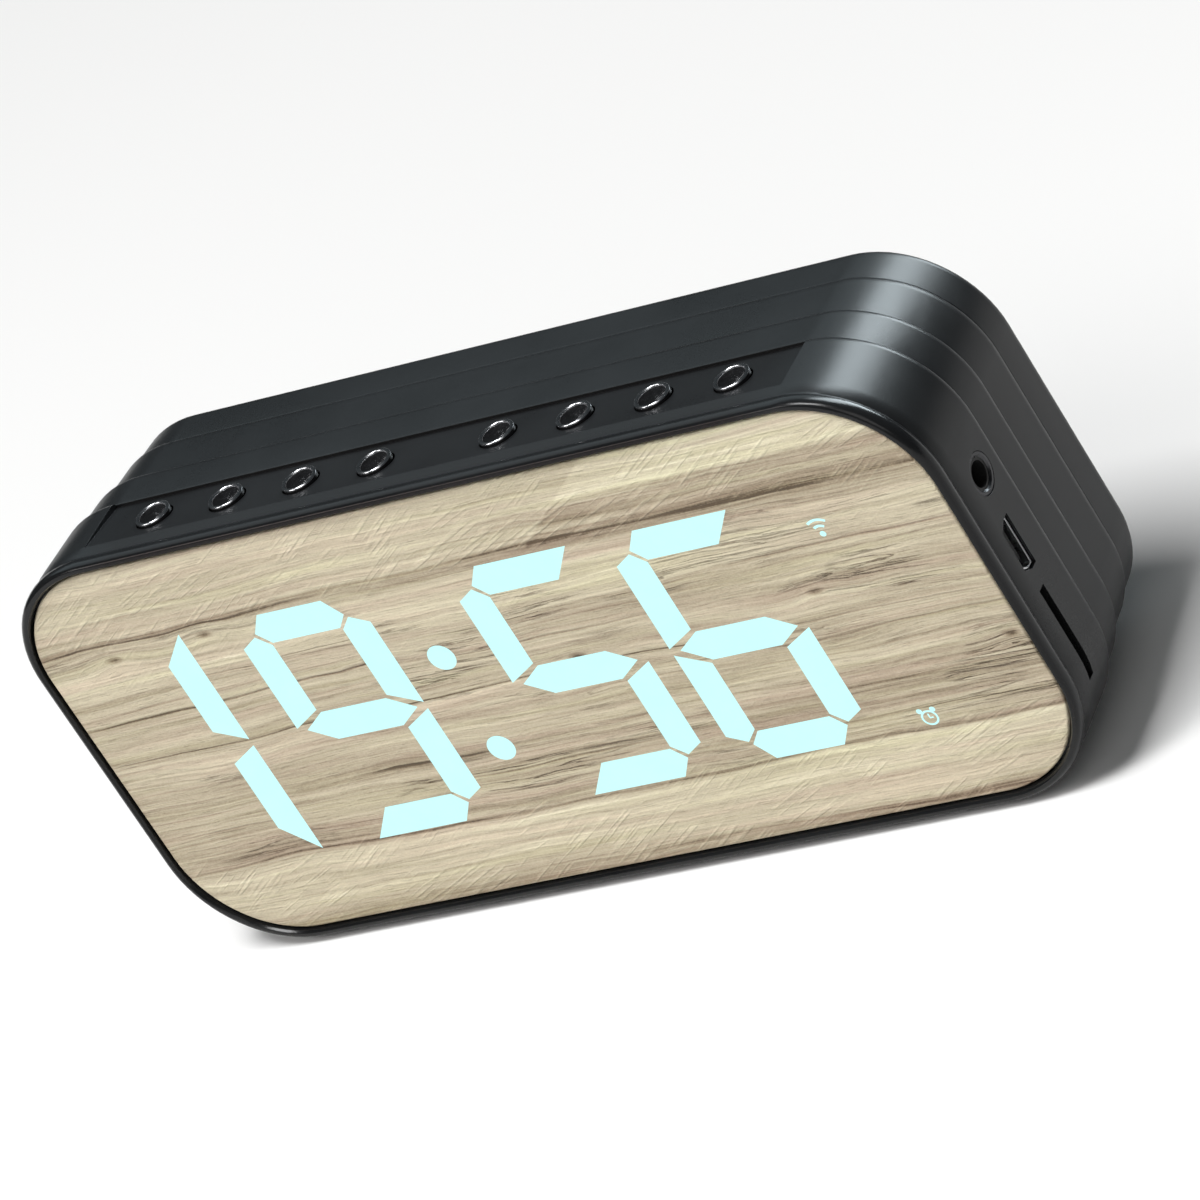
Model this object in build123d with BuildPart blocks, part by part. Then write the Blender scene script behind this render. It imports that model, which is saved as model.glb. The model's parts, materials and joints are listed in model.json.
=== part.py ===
from build123d import *
import os
from math import cos, pi, radians, sin

# Wood-fronted digital alarm clock and speaker.
# +X is the clock's right as its face is looked at, +Y goes back, +Z goes up.
# The origin is on the table, under the middle of the clock's outline.
# Inside this file a place is given by its depth behind the panel's front face,
# its x, and its height above the panel's centre.

# ---- Driving dimensions, millimetres ----

BODY_W = 146.8
BODY_H = 67.2
CORNER_R = 16.6
DEPTH = 36.6
BEAD_PROUD = 0.6          # the bead round the front stands this far ahead of the panel
FRONT_FOOT_H = 1.0        # the front feet lift the case this far off the table

PANEL_Y = BEAD_PROUD - DEPTH / 2
MID_Z = BODY_H / 2 + FRONT_FOOT_H

# Case outside: the case narrows towards the back in four bands with rounded shoulders
HEIGHT_SHARE = 0.68       # the top and bottom come in by this share of the sides' inset
RADIUS_GAIN = -0.25       # the corner radius changes by this share of the inset
SHOULDER = 1.3            # length of each band's rounded shoulder
SHOULDER_STEPS = 6
GROOVE = 0.12             # depth of the fine groove where two bands meet
GROOVE_W = 0.25
# Depth and inset of the rounded bead round the front, and of the groove behind it
BEAD = [(-BEAD_PROUD, 0.75), (-0.52, 0.5), (-0.3, 0.26), (0.0, 0.1), (0.4, 0.02), (0.8, 0.0),
        (1.2, 0.06), (1.5, 0.18), (1.75, 0.36), (1.95, 0.42), (2.2, 0.34), (2.8, 0.24)]
# Depth, and distance out from the panel's seat, of the bead's inner roll
INNER_ROLL = [(-0.7, 0.42), (-0.5, 0.24), (-0.25, 0.08), (0.05, -0.05)]
# Each band: depth at its front, depth at its back, inset at its shoulder's start, inset at its back
BANDS = [(3.6, 13.9, 0.45, 1.2), (13.9, 20.6, 1.45, 2.2),
         (20.6, 28.4, 2.55, 3.05), (28.4, 34.8, 3.35, 4.1)]
FIRST_BAND_INSET = 0.12

# Case inside
CAVITY_FRONT = 3.5
CAVITY_BACK = 32.8
CAVITY_FRONT_SIZE = (142.6, 63.0, 14.6)
CAVITY_BACK_SIZE = (135.2, 58.2, 15.4)
REAR_SEAT_SIZE = (136.2, 59.2, 16.4)
CASE_BACK = 34.8
COVER_BACK = DEPTH - BEAD_PROUD

# Front panel and what is stacked behind it
PANEL_W = 143.8
PANEL_H = 64.0
PANEL_R = 15.7
PANEL_T = 1.4
PANEL_GAP = 0.3
PANEL_EDGE_R = 0.35       # the panel's front edge is rubbed round
ICON_T = 0.5              # the icons are let into the panel's face by this much
FILM_T = 0.2
MASK_W = 132.4
MASK_H = 46.4
MASK_T = 1.9
MASK_R = 3.0
BOARD_FRONT = PANEL_T + FILM_T + MASK_T
BOARD_T = 1.6
BOARD_BACK = BOARD_FRONT + BOARD_T
BOARD_HALF_W = 70.8
BOARD_TOP = 23.6
BOARD_BOTTOM = -27.5
BOARD_TOP_R = 4.0
BOARD_BOTTOM_R = 12.0

# Digits: seven-segment, each cell centred on the panel's height
DIGIT_HALF_H = 19.65
DIGIT_HALF_W = 10.65
STROKE_V = 4.75           # width of an upright segment
STROKE_H = 4.85           # height of a level segment
HOUR_TENS = (-56.35, 8.5)  # centre x and half width of the narrower first cell
HOUR_ONES = (-29.0, DIGIT_HALF_W)
MINUTE_TENS = (7.0, DIGIT_HALF_W)
MINUTE_ONES = (32.35, DIGIT_HALF_W)
COLON_X = -11.5
COLON_Z = (6.8, -9.2)
COLON_R = 2.08
SIGNAL_AT = (52.9, 12.9)
ALARM_AT = (51.8, -18.2)
LIT = {"hour_tens": "bc", "hour_ones": "abcdfg", "minute_tens": "acdfg", "minute_ones": "acdefg"}
CELLS = {"hour_tens": HOUR_TENS, "hour_ones": HOUR_ONES,
         "minute_tens": MINUTE_TENS, "minute_ones": MINUTE_ONES}

# Push buttons on the top
BUTTON_X = [side * (10.0 + 12.4 * step) for side in (-1, 1) for step in range(4)]
BUTTON_DEPTH = 8.5
BUTTON_R = 2.6
BUTTON_HOLE_R = 2.8
BUTTON_TOP = 33.7
BUTTON_RIM_R = 0.27       # the rim's rounding, in section
BUTTON_DISH = 0.6         # depth of the dish's middle below the rim
FLANGE_R = 3.4
FLANGE_TOP = 31.0
FLANGE_T = 0.8
FLANGE_SEAT_R = 3.7
FLANGE_SEAT_Z = 31.2
STRIP_HALF_W = 56.7       # the sunk strip that the buttons stand in
STRIP_FRONT = (4.0, 33.35)
STRIP_BACK = (13.9, 32.3)

# Button board and its switches
KEY_BOARD_Z = 24.0
KEY_BOARD_T = 1.2
KEY_BOARD_HALF_W = 59.0
KEY_BOARD_DEPTH = (4.3, 13.1)
SWITCH_SIDE = 6.0
SWITCH_H = 3.3
PLUNGER_R = 1.5
PLUNGER_WELL_R = 1.7
PLUNGER_DROP = 0.8        # how far the plunger reaches into the switch at rest
PLUNGER_WELL = 1.4
KEY_POST_X = (-55.0, 0.0, 55.0)
KEY_POST_R = 2.3

# Sockets on the right-hand side
JACK_AT = (8.1, 11.3)     # depth and height of the jack's centre
JACK_BORE_R = 1.8
JACK_NOSE_R = 2.2
JACK_RING_R = 2.85
JACK_HOLE_R = 2.95
JACK_BLOCK = (58.4, 70.0)
JACK_FACE_X = 73.0
JACK_BORE_END = 59.6
USB_Z = 0.6
USB_PROFILE = [(8.0, 3.9), (6.6, 3.9), (BOARD_BACK, 2.9)]  # depth and half length
USB_X = (67.0, 72.7)
USB_WALL = 0.3
CARD_Z = (-20.9, -6.4)
CARD_X = (56.0, 69.2)
CARD_T = 1.9
CARD_WALL = 0.4
CARD_SLOT = (5.3, 6.9, -21.2, -6.2)  # least and greatest depth, then height

# Fasteners
SMALL_SHANK_R = 0.8
SMALL_HEAD_R = 2.0
SMALL_HEAD_T = 1.1
SMALL_LENGTH = 4.5
SMALL_PILOT_R = 0.85
BOARD_POST_R = 1.75
BOARD_HOLE_R = 1.95
BOARD_POSTS = [(-68.4, 18.5), (68.4, 18.5), (-50.0, -25.3), (0.0, -25.3), (50.0, -25.3)]
COVER_SHANK_R = 1.1
COVER_PILOT_R = 1.15
COVER_HEAD_R = 2.4
COVER_HEAD_T = 1.4
COVER_SCREW_LENGTH = 8.0
RECESS_L = 2.6            # the cross recess in a cover screw's head
RECESS_W = 0.6
RECESS_DEPTH = 0.8
COVER_SINK_R = 2.7
COVER_SINK = 1.6
COVER_BOSS_R = 3.2
COVER_CORNERS = [(x, z) for x in (-60.2, 60.2) for z in (-21.2, 21.2)]
COVER_MIDDLES = [(0.0, -26.2), (0.0, 26.2)]
COVER_BOSS_FRONT = 20.0
CORNER_RIB = (6.0, 2.0)
MIDDLE_RIB = (2.4, 4.6)

# Rear cover
COVER_SIZE = (135.8, 58.8, 16.2)
COVER_T = 2.0
COVER_INNER = COVER_BACK - COVER_T
COVER_SKIRT = 1.6
GRILLE_HOLE_R = 0.85
GRILLE_PITCH = 3.05
GRILLE_RINGS = 5

# Speakers
SPEAKER_X = 45.5
SPEAKER_R = 18.0
FRAME_OPENING_R = 16.0
FLANGE_BACK = COVER_INNER - 1.0
FRAME_FLANGE_T = 1.0
FRAME_STEP = FLANGE_BACK - FRAME_FLANGE_T
FRAME_FRONT = 23.0
FRAME_SMALL_R = 11.0
FRAME_WALL = 0.8
MAGNET_R = 11.5
MAGNET_FRONT = 16.0
CONE_R = 13.2
CONE_SMALL_R = 6.0
CONE_T = 0.5
SPEAKER_POST_RING = 19.6
SPEAKER_POST_R = 1.5
SPEAKER_POST_ANGLES = (90, 210, 330)
SPEAKER_SCREW_HEAD_R = 2.3  # wide enough to reach over the flange
SPEAKER_SCREW_LENGTH = 3.0

# Battery
BATTERY_SIZE = (46.0, 30.0, 7.4)
BATTERY_PAD_T = 0.8

# Feet: half length, half width, depth of the centre, height of the seat above the panel's centre
FOOT_X = 42.0
FRONT_FEET = (8.0, 3.4, 8.0, -32.6)
REAR_FEET = (7.5, 2.2, 31.0, -30.6)
FOOT_SEAT_GAP = 0.05

os.makedirs("parts", exist_ok=True)


# ---- Planes and shared outlines ----

def front_plane(depth):
    """Faces the front, with sketches in x and height; a negative extrude goes back."""
    return Plane(origin=(0, PANEL_Y + depth, MID_Z), x_dir=(1, 0, 0), z_dir=(0, -1, 0))


def side_plane(x):
    """Faces the clock's right, with sketches in depth and height; an extrude goes to the right."""
    return Plane(origin=(x, PANEL_Y, MID_Z), x_dir=(0, 1, 0), z_dir=(1, 0, 0))


def top_plane(height):
    """Faces up, with sketches in x and depth; an extrude goes up."""
    return Plane(origin=(0, PANEL_Y, MID_Z + height), x_dir=(1, 0, 0), z_dir=(0, 0, 1))


def case_sections():
    """Depth and inset of each outline of the case, from the bead to the back rim."""
    sections = list(BEAD)
    start_inset = FIRST_BAND_INSET
    for front, back, shoulder_inset, back_inset in BANDS:
        sections.append((front + GROOVE_W, start_inset))
        shoulder_front = back - SHOULDER
        sections.append((shoulder_front, shoulder_inset))
        for step in range(1, SHOULDER_STEPS + 1):
            turn = step / SHOULDER_STEPS * pi / 2
            depth = shoulder_front + SHOULDER * sin(turn)
            inset = shoulder_inset + (back_inset + GROOVE - shoulder_inset) * (1 - cos(turn))
            sections.append((depth, inset))
        start_inset = back_inset
    return sections


def segment_outline(name, lit, half_w):
    """Corners of one segment; an end is cut to a point only beside a lit neighbour."""
    half_h = DIGIT_HALF_H
    if name == "g":
        right = [(half_w - 5.2, 2.42), (half_w - 1.4, 0.0), (half_w - 5.2, -2.42)]
        return right + [(-u, -v) for u, v in right]
    if name in "ad":
        pointed = [(half_w - 5.0, half_h - STROKE_H), (half_w - 3.2, half_h - 2.9),
                   (half_w - 5.3, half_h)]
        free = [(half_w - 5.2, half_h - STROKE_H), (half_w - 1.3, half_h)]
        neighbours = {"a": "bf", "d": "ce"}[name]
        right = pointed if neighbours[0] in lit else free
        left = pointed if neighbours[1] in lit else free
        points = right + [(-u, v) for u, v in reversed(left)]
    else:
        pointed = [(half_w - STROKE_V, half_h - 5.2), (half_w - 2.8, half_h - 3.4),
                   (half_w, half_h - 4.9)]
        free = [(half_w - STROKE_V, half_h - 5.0), (half_w, half_h - 0.3)]
        neighbour = "a" if name in "bf" else "d"
        points = pointed if neighbour in lit else free
        points = points + [(half_w, 0.55), (half_w - STROKE_V, 2.9)]
    side = -1 if name in "ef" else 1
    up = -1 if name in "cde" else 1
    return [(side * u, up * v) for u, v in points]


def draw_segments(cell, names):
    """Adds a cell's named segments to the sketch in hand."""
    centre, half_w = cell
    with Locations((centre, 0)):
        for name in names:
            Polygon(*segment_outline(name, names, half_w), align=None)


def draw_colon():
    """Adds the two colon dots to the sketch in hand."""
    with Locations(*[(COLON_X, z) for z in COLON_Z]):
        Circle(COLON_R)


def wedge(centre, radius, half_angle):
    """Corners of an upright wedge from a centre, wider than the radius it has to cover."""
    reach = 1.5 * radius
    spread = reach * sin(radians(half_angle))
    x, z = centre
    return [(x, z), (x + spread, z + reach), (x - spread, z + reach)]


def draw_signal_icon():
    """Adds a dot under two arcs, the mark for a wireless connection."""
    x, z = SIGNAL_AT
    with BuildSketch(mode=Mode.PRIVATE) as arcs:
        with Locations((x, z)):
            Circle(2.5)
            Circle(2.1, mode=Mode.SUBTRACT)
            Circle(1.5)
            Circle(1.1, mode=Mode.SUBTRACT)
        Polygon(*wedge(SIGNAL_AT, 2.5, 48), align=None, mode=Mode.INTERSECT)
    add(arcs.sketch)
    with Locations((x, z)):
        Circle(0.45)


def draw_alarm_icon():
    """Adds a small round clock with two bells and two hands."""
    x, z = ALARM_AT
    with BuildSketch(mode=Mode.PRIVATE) as clock:
        with Locations((x, z)):
            Circle(1.25)
            Circle(0.95, mode=Mode.SUBTRACT)
        with Locations((x, z + 0.35)):
            Rectangle(0.22, 0.7)
        with Locations((x + 0.25, z)):
            Rectangle(0.6, 0.22)
        with Locations((x - 1.0, z + 1.25), (x + 1.0, z + 1.25)):
            Circle(0.42)
    add(clock.sketch)


def speaker_post_places():
    """x and height of the posts that both speakers' flanges are screwed to."""
    turns = [radians(angle) for angle in SPEAKER_POST_ANGLES]
    ring = [(SPEAKER_POST_RING * cos(turn), SPEAKER_POST_RING * sin(turn)) for turn in turns]
    return [(x + dx, dz) for x in (-SPEAKER_X, SPEAKER_X) for dx, dz in ring]


def box_between(x, depth, z):
    """Adds a box to the part in hand, from its extents in x, depth and height."""
    middle = ((x[0] + x[1]) / 2, PANEL_Y + (depth[0] + depth[1]) / 2, MID_Z + (z[0] + z[1]) / 2)
    with Locations(middle):
        Box(x[1] - x[0], depth[1] - depth[0], z[1] - z[0])


# ---- Case ----

with BuildPart() as front_housing:
    for depth, inset in case_sections():
        with BuildSketch(front_plane(depth)):
            RectangleRounded(BODY_W - 2 * inset, BODY_H - 2 * HEIGHT_SHARE * inset,
                             CORNER_R + RADIUS_GAIN * inset)
    loft(ruled=True)
    # seat for the panel, and the window behind it
    with BuildSketch(front_plane(-BEAD_PROUD)):
        RectangleRounded(PANEL_W + 2 * PANEL_GAP, PANEL_H + 2 * PANEL_GAP, PANEL_R + PANEL_GAP)
    extrude(amount=-(BEAD_PROUD + PANEL_T + FILM_T), mode=Mode.SUBTRACT)
    for depth, out in INNER_ROLL:
        with BuildSketch(front_plane(depth)):
            RectangleRounded(PANEL_W + 2 * (PANEL_GAP + out), PANEL_H + 2 * (PANEL_GAP + out),
                             PANEL_R + PANEL_GAP + out)
    loft(ruled=True, mode=Mode.SUBTRACT)
    with BuildSketch(front_plane(PANEL_T)):
        RectangleRounded(MASK_W + 0.4, MASK_H + 0.4, MASK_R)
    extrude(amount=-(MASK_T + 1.0), mode=Mode.SUBTRACT)
    # cavity, and the seat for the rear cover
    for depth, size in ((CAVITY_FRONT, CAVITY_FRONT_SIZE), (CAVITY_BACK, CAVITY_BACK_SIZE)):
        with BuildSketch(front_plane(depth)):
            RectangleRounded(*size)
    loft(ruled=True, mode=Mode.SUBTRACT)
    with BuildSketch(front_plane(CAVITY_BACK)):
        RectangleRounded(*REAR_SEAT_SIZE)
    extrude(amount=-(CASE_BACK - CAVITY_BACK + 1.0), mode=Mode.SUBTRACT)
    # sunk strip for the buttons
    with BuildSketch(side_plane(-STRIP_HALF_W)):
        Polygon(STRIP_FRONT, STRIP_BACK, (STRIP_BACK[0], 35.0), (STRIP_FRONT[0], 35.0), align=None)
    extrude(amount=2 * STRIP_HALF_W, mode=Mode.SUBTRACT)
    # screw posts under the top for the button board
    with BuildSketch(top_plane(KEY_BOARD_Z + KEY_BOARD_T)):
        with Locations(*[(x, BUTTON_DEPTH) for x in KEY_POST_X]):
            Circle(KEY_POST_R)
    extrude(amount=FLANGE_SEAT_Z + 0.6 - KEY_BOARD_Z - KEY_BOARD_T)
    # locating posts for the main board
    with BuildSketch(front_plane(CAVITY_FRONT - 0.4)):
        with Locations(*BOARD_POSTS):
            Circle(BOARD_POST_R)
    extrude(amount=-(BOARD_T + 0.4))
    # bosses for the rear cover's screws, each held to the wall by a rib
    with BuildSketch(front_plane(COVER_BOSS_FRONT)):
        with Locations(*COVER_CORNERS, *COVER_MIDDLES):
            Circle(COVER_BOSS_R)
        with Locations(*[(x, z * 1.08) for x, z in COVER_MIDDLES]):
            Rectangle(*MIDDLE_RIB)
        for x, z in COVER_CORNERS:
            lean = 45 if x * z > 0 else -45
            with Locations(Location((x * 1.035, z * 1.1), lean)):
                Rectangle(*CORNER_RIB)
    extrude(amount=-(CAVITY_BACK - COVER_BOSS_FRONT))
    # pilot holes
    with BuildSketch(front_plane(BOARD_BACK)):
        with Locations(*BOARD_POSTS):
            Circle(SMALL_PILOT_R)
    extrude(amount=BOARD_T + 1.5, mode=Mode.SUBTRACT)
    with BuildSketch(front_plane(CAVITY_BACK)):
        with Locations(*COVER_CORNERS, *COVER_MIDDLES):
            Circle(COVER_PILOT_R)
    extrude(amount=COVER_SCREW_LENGTH, mode=Mode.SUBTRACT)
    with BuildSketch(top_plane(KEY_BOARD_Z + KEY_BOARD_T)):
        with Locations(*[(x, BUTTON_DEPTH) for x in KEY_POST_X]):
            Circle(SMALL_PILOT_R)
    extrude(amount=4.5, mode=Mode.SUBTRACT)
    # button holes, with a flat seat for each button's flange
    with BuildSketch(top_plane(FLANGE_SEAT_Z - 3.0)):
        with Locations(*[(x, BUTTON_DEPTH) for x in BUTTON_X]):
            Circle(FLANGE_SEAT_R)
    extrude(amount=3.0, mode=Mode.SUBTRACT)
    with BuildSketch(top_plane(FLANGE_SEAT_Z - 1.0)):
        with Locations(*[(x, BUTTON_DEPTH) for x in BUTTON_X]):
            Circle(BUTTON_HOLE_R)
    extrude(amount=5.0, mode=Mode.SUBTRACT)
    # jack hole, charging socket hole and card slot through the right-hand wall
    with BuildSketch(side_plane(66.0)):
        with Locations(JACK_AT):
            Circle(JACK_HOLE_R)
        with Locations((0, USB_Z)):
            usb_gap = 0.15
            usb_hole = [(depth + usb_gap, half + usb_gap) for depth, half in USB_PROFILE[:2]]
            usb_hole = usb_hole + [(USB_PROFILE[2][0] - usb_gap, USB_PROFILE[2][1] + usb_gap)]
            Polygon(*usb_hole, *[(depth, -half) for depth, half in reversed(usb_hole)], align=None)
        with Locations(((CARD_SLOT[0] + CARD_SLOT[1]) / 2, (CARD_SLOT[2] + CARD_SLOT[3]) / 2)):
            Rectangle(CARD_SLOT[1] - CARD_SLOT[0], CARD_SLOT[3] - CARD_SLOT[2])
    extrude(amount=10.0, mode=Mode.SUBTRACT)
    # seats for the rubber feet
    for half_l, half_w, depth, seat in (FRONT_FEET, REAR_FEET):
        with BuildSketch(top_plane(-40.0)):
            with Locations((-FOOT_X, depth), (FOOT_X, depth)):
                SlotOverall(2 * (half_l + FOOT_SEAT_GAP), 2 * (half_w + FOOT_SEAT_GAP))
        extrude(amount=40.0 + seat, mode=Mode.SUBTRACT)
front_housing.part.label = "front_housing"
export_step(front_housing.part, "parts/front_housing.step")

with BuildPart() as rear_cover:
    with BuildSketch(front_plane(COVER_INNER)):
        RectangleRounded(*COVER_SIZE)
    extrude(amount=-COVER_T)
    fillet(rear_cover.faces().sort_by(Axis.Y)[-1].edges(), radius=1.3)
    # skirt that drops into the case
    with BuildSketch(front_plane(CAVITY_BACK)):
        RectangleRounded(*COVER_SIZE)
        RectangleRounded(COVER_SIZE[0] - 2 * COVER_SKIRT, COVER_SIZE[1] - 2 * COVER_SKIRT,
                         COVER_SIZE[2] - COVER_SKIRT, mode=Mode.SUBTRACT)
    extrude(amount=-(COVER_INNER - CAVITY_BACK))
    # pads that sit on the case's bosses
    with BuildSketch(front_plane(CAVITY_BACK)):
        with Locations(*COVER_CORNERS, *COVER_MIDDLES):
            Circle(COVER_BOSS_R)
        RectangleRounded(*COVER_SIZE, mode=Mode.INTERSECT)
    extrude(amount=-(COVER_INNER - CAVITY_BACK))
    # speaker posts
    with BuildSketch(front_plane(FRAME_STEP)):
        with Locations(*speaker_post_places()):
            Circle(SPEAKER_POST_R)
    extrude(amount=-(COVER_INNER - FRAME_STEP))
    with BuildSketch(front_plane(FRAME_STEP)):
        with Locations(*speaker_post_places()):
            Circle(SMALL_PILOT_R)
    extrude(amount=-(SPEAKER_SCREW_LENGTH + 0.2), mode=Mode.SUBTRACT)
    # sound holes in rings behind each speaker
    with BuildSketch(front_plane(COVER_BACK)):
        with Locations((-SPEAKER_X, 0), (SPEAKER_X, 0)):
            Circle(GRILLE_HOLE_R)
            for ring in range(1, GRILLE_RINGS + 1):
                with PolarLocations(ring * GRILLE_PITCH, 6 * ring):
                    Circle(GRILLE_HOLE_R)
    extrude(amount=COVER_T, mode=Mode.SUBTRACT)
    # screw holes, sunk for the heads
    with BuildSketch(front_plane(COVER_BACK)):
        with Locations(*COVER_CORNERS, *COVER_MIDDLES):
            Circle(COVER_SHANK_R + 0.25)
    extrude(amount=COVER_BACK - CAVITY_BACK, mode=Mode.SUBTRACT)
    with BuildSketch(front_plane(COVER_BACK)):
        with Locations(*COVER_CORNERS, *COVER_MIDDLES):
            Circle(COVER_SINK_R)
    extrude(amount=COVER_SINK, mode=Mode.SUBTRACT)
rear_cover.part.label = "rear_cover"
export_step(rear_cover.part, "parts/rear_cover.step")

with BuildPart() as cover_screws:
    with BuildSketch(front_plane(COVER_BACK - COVER_SINK)):
        with Locations(*COVER_CORNERS, *COVER_MIDDLES):
            Circle(COVER_HEAD_R)
    extrude(amount=-COVER_HEAD_T)
    fillet(cover_screws.faces().group_by(Axis.Y)[-1].edges(), radius=0.5)
    with BuildSketch(front_plane(COVER_BACK - COVER_SINK)):
        with Locations(*COVER_CORNERS, *COVER_MIDDLES):
            Circle(COVER_SHANK_R)
    extrude(amount=COVER_SCREW_LENGTH)
    with BuildSketch(front_plane(COVER_BACK - COVER_SINK + COVER_HEAD_T)):
        with Locations(*COVER_CORNERS, *COVER_MIDDLES):
            Rectangle(RECESS_L, RECESS_W)
            Rectangle(RECESS_W, RECESS_L)
    extrude(amount=RECESS_DEPTH, mode=Mode.SUBTRACT)
cover_screws.part.label = "cover_screws"
export_step(cover_screws.part, "parts/cover_screws.step")

for label, (half_l, half_w, depth, seat) in (("front_feet", FRONT_FEET), ("rear_feet", REAR_FEET)):
    with BuildPart() as feet:
        with BuildSketch(top_plane(-MID_Z)):
            with Locations((-FOOT_X, depth), (FOOT_X, depth)):
                SlotOverall(2 * half_l, 2 * half_w)
        extrude(amount=MID_Z + seat)
        fillet(feet.faces().group_by(Axis.Z)[0].edges(), radius=0.35)
    feet.part.label = label
    export_step(feet.part, f"parts/{label}.step")

# ---- Front panel and display ----

with BuildPart() as front_panel:
    with BuildSketch(front_plane(0)):
        RectangleRounded(PANEL_W, PANEL_H, PANEL_R)
    extrude(amount=-PANEL_T)
    fillet(front_panel.faces().sort_by(Axis.Y)[0].edges(), radius=PANEL_EDGE_R)
    with BuildSketch(front_plane(-1.0)):
        for place, names in LIT.items():
            draw_segments(CELLS[place], names)
        draw_colon()
    extrude(amount=-(PANEL_T + 2.0), mode=Mode.SUBTRACT)
    with BuildSketch(front_plane(-1.0)):
        draw_signal_icon()
        draw_alarm_icon()
    extrude(amount=-(ICON_T + 1.0), mode=Mode.SUBTRACT)
front_panel.part.label = "front_panel"
export_step(front_panel.part, "parts/front_panel.step")

for place, names in LIT.items():
    with BuildPart() as digit:
        with BuildSketch(front_plane(0)):
            draw_segments(CELLS[place], names)
        extrude(amount=-PANEL_T)
    digit.part.label = f"{place}_digit"
    export_step(digit.part, f"parts/{place}_digit.step")

with BuildPart() as colon_dots:
    with BuildSketch(front_plane(0)):
        draw_colon()
    extrude(amount=-PANEL_T)
colon_dots.part.label = "colon_dots"
export_step(colon_dots.part, "parts/colon_dots.step")

with BuildPart() as status_icons:
    with BuildSketch(front_plane(0)):
        draw_signal_icon()
        draw_alarm_icon()
    extrude(amount=-ICON_T)
status_icons.part.label = "status_icons"
export_step(status_icons.part, "parts/status_icons.step")

with BuildPart() as panel_adhesive:
    with BuildSketch(front_plane(PANEL_T)):
        RectangleRounded(PANEL_W - 2.0, PANEL_H - 2.0, PANEL_R - 1.0)
        RectangleRounded(MASK_W + 0.8, MASK_H + 0.8, MASK_R, mode=Mode.SUBTRACT)
    extrude(amount=-FILM_T)
panel_adhesive.part.label = "panel_adhesive"
export_step(panel_adhesive.part, "parts/panel_adhesive.step")

with BuildPart() as light_diffuser:
    with BuildSketch(front_plane(PANEL_T)):
        RectangleRounded(MASK_W, MASK_H, MASK_R)
    extrude(amount=-FILM_T)
light_diffuser.part.label = "light_diffuser"
export_step(light_diffuser.part, "parts/light_diffuser.step")

with BuildPart() as light_mask:
    with BuildSketch(front_plane(PANEL_T + FILM_T)):
        RectangleRounded(MASK_W, MASK_H, MASK_R)
    extrude(amount=-MASK_T)
    with BuildSketch(front_plane(PANEL_T)):
        for cell in CELLS.values():
            draw_segments(cell, "abcdefg")
        draw_colon()
        with Locations((SIGNAL_AT[0], SIGNAL_AT[1] + 1.0), ALARM_AT):
            Rectangle(4.6, 4.6)
    extrude(amount=-(MASK_T + 1.0), mode=Mode.SUBTRACT)
light_mask.part.label = "light_mask"
export_step(light_mask.part, "parts/light_mask.step")


def chip_places():
    """x and height of each light chip, two behind every segment and one behind each dot and icon."""
    places = [(COLON_X, z) for z in COLON_Z] + [(SIGNAL_AT[0], SIGNAL_AT[1] + 1.0), ALARM_AT]
    level_z = DIGIT_HALF_H - STROKE_H / 2
    upright_z = DIGIT_HALF_H / 2 - 0.6
    for centre, half_w in CELLS.values():
        upright_x = half_w - STROKE_V / 2
        places += [(centre + side * 2.2, z) for side in (-1, 1) for z in (-level_z, 0, level_z)]
        for side in (-1, 1):
            for up in (-1, 1):
                places += [(centre + side * upright_x, up * upright_z + shift) for shift in (-2.6, 2.6)]
    return places


with BuildPart() as led_chips:
    with BuildSketch(front_plane(BOARD_FRONT)):
        with Locations(*chip_places()):
            Rectangle(1.6, 0.8)
    extrude(amount=0.6)
led_chips.part.label = "led_chips"
export_step(led_chips.part, "parts/led_chips.step")

# ---- Main board and what is soldered to it ----

with BuildPart() as main_board:
    with BuildSketch(front_plane(BOARD_FRONT)):
        with Locations((0, (BOARD_TOP + BOARD_BOTTOM) / 2)):
            outline = Rectangle(2 * BOARD_HALF_W, BOARD_TOP - BOARD_BOTTOM)
        fillet(outline.vertices().group_by(Axis.Z)[0], radius=BOARD_BOTTOM_R)
        fillet(outline.vertices().group_by(Axis.Z)[-1], radius=BOARD_TOP_R)
        with Locations(*BOARD_POSTS):
            Circle(BOARD_HOLE_R, mode=Mode.SUBTRACT)
    extrude(amount=-BOARD_T)
main_board.part.label = "main_board"
export_step(main_board.part, "parts/main_board.step")

with BuildPart() as board_chips:
    for x, z, w, h, thick in ((-18.0, 4.0, 10.0, 10.0, 1.2), (2.0, 6.0, 6.0, 5.0, 1.4),
                              (22.0, 6.0, 9.0, 6.4, 1.6), (38.0, -4.0, 5.0, 4.0, 1.2)):
        chip_depth = (BOARD_BACK, BOARD_BACK + thick)
        box_between((x - w / 2, x + w / 2), chip_depth, (z - h / 2, z + h / 2))
board_chips.part.label = "board_chips"
export_step(board_chips.part, "parts/board_chips.step")

with BuildPart() as radio_module:
    box_between((-58.0, -38.0), (BOARD_BACK, BOARD_BACK + 0.8), (-6.0, 9.0))
    box_between((-57.0, -43.0), (BOARD_BACK + 0.8, BOARD_BACK + 2.6), (-5.0, 8.0))
radio_module.part.label = "radio_module"
export_step(radio_module.part, "parts/radio_module.step")

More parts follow.
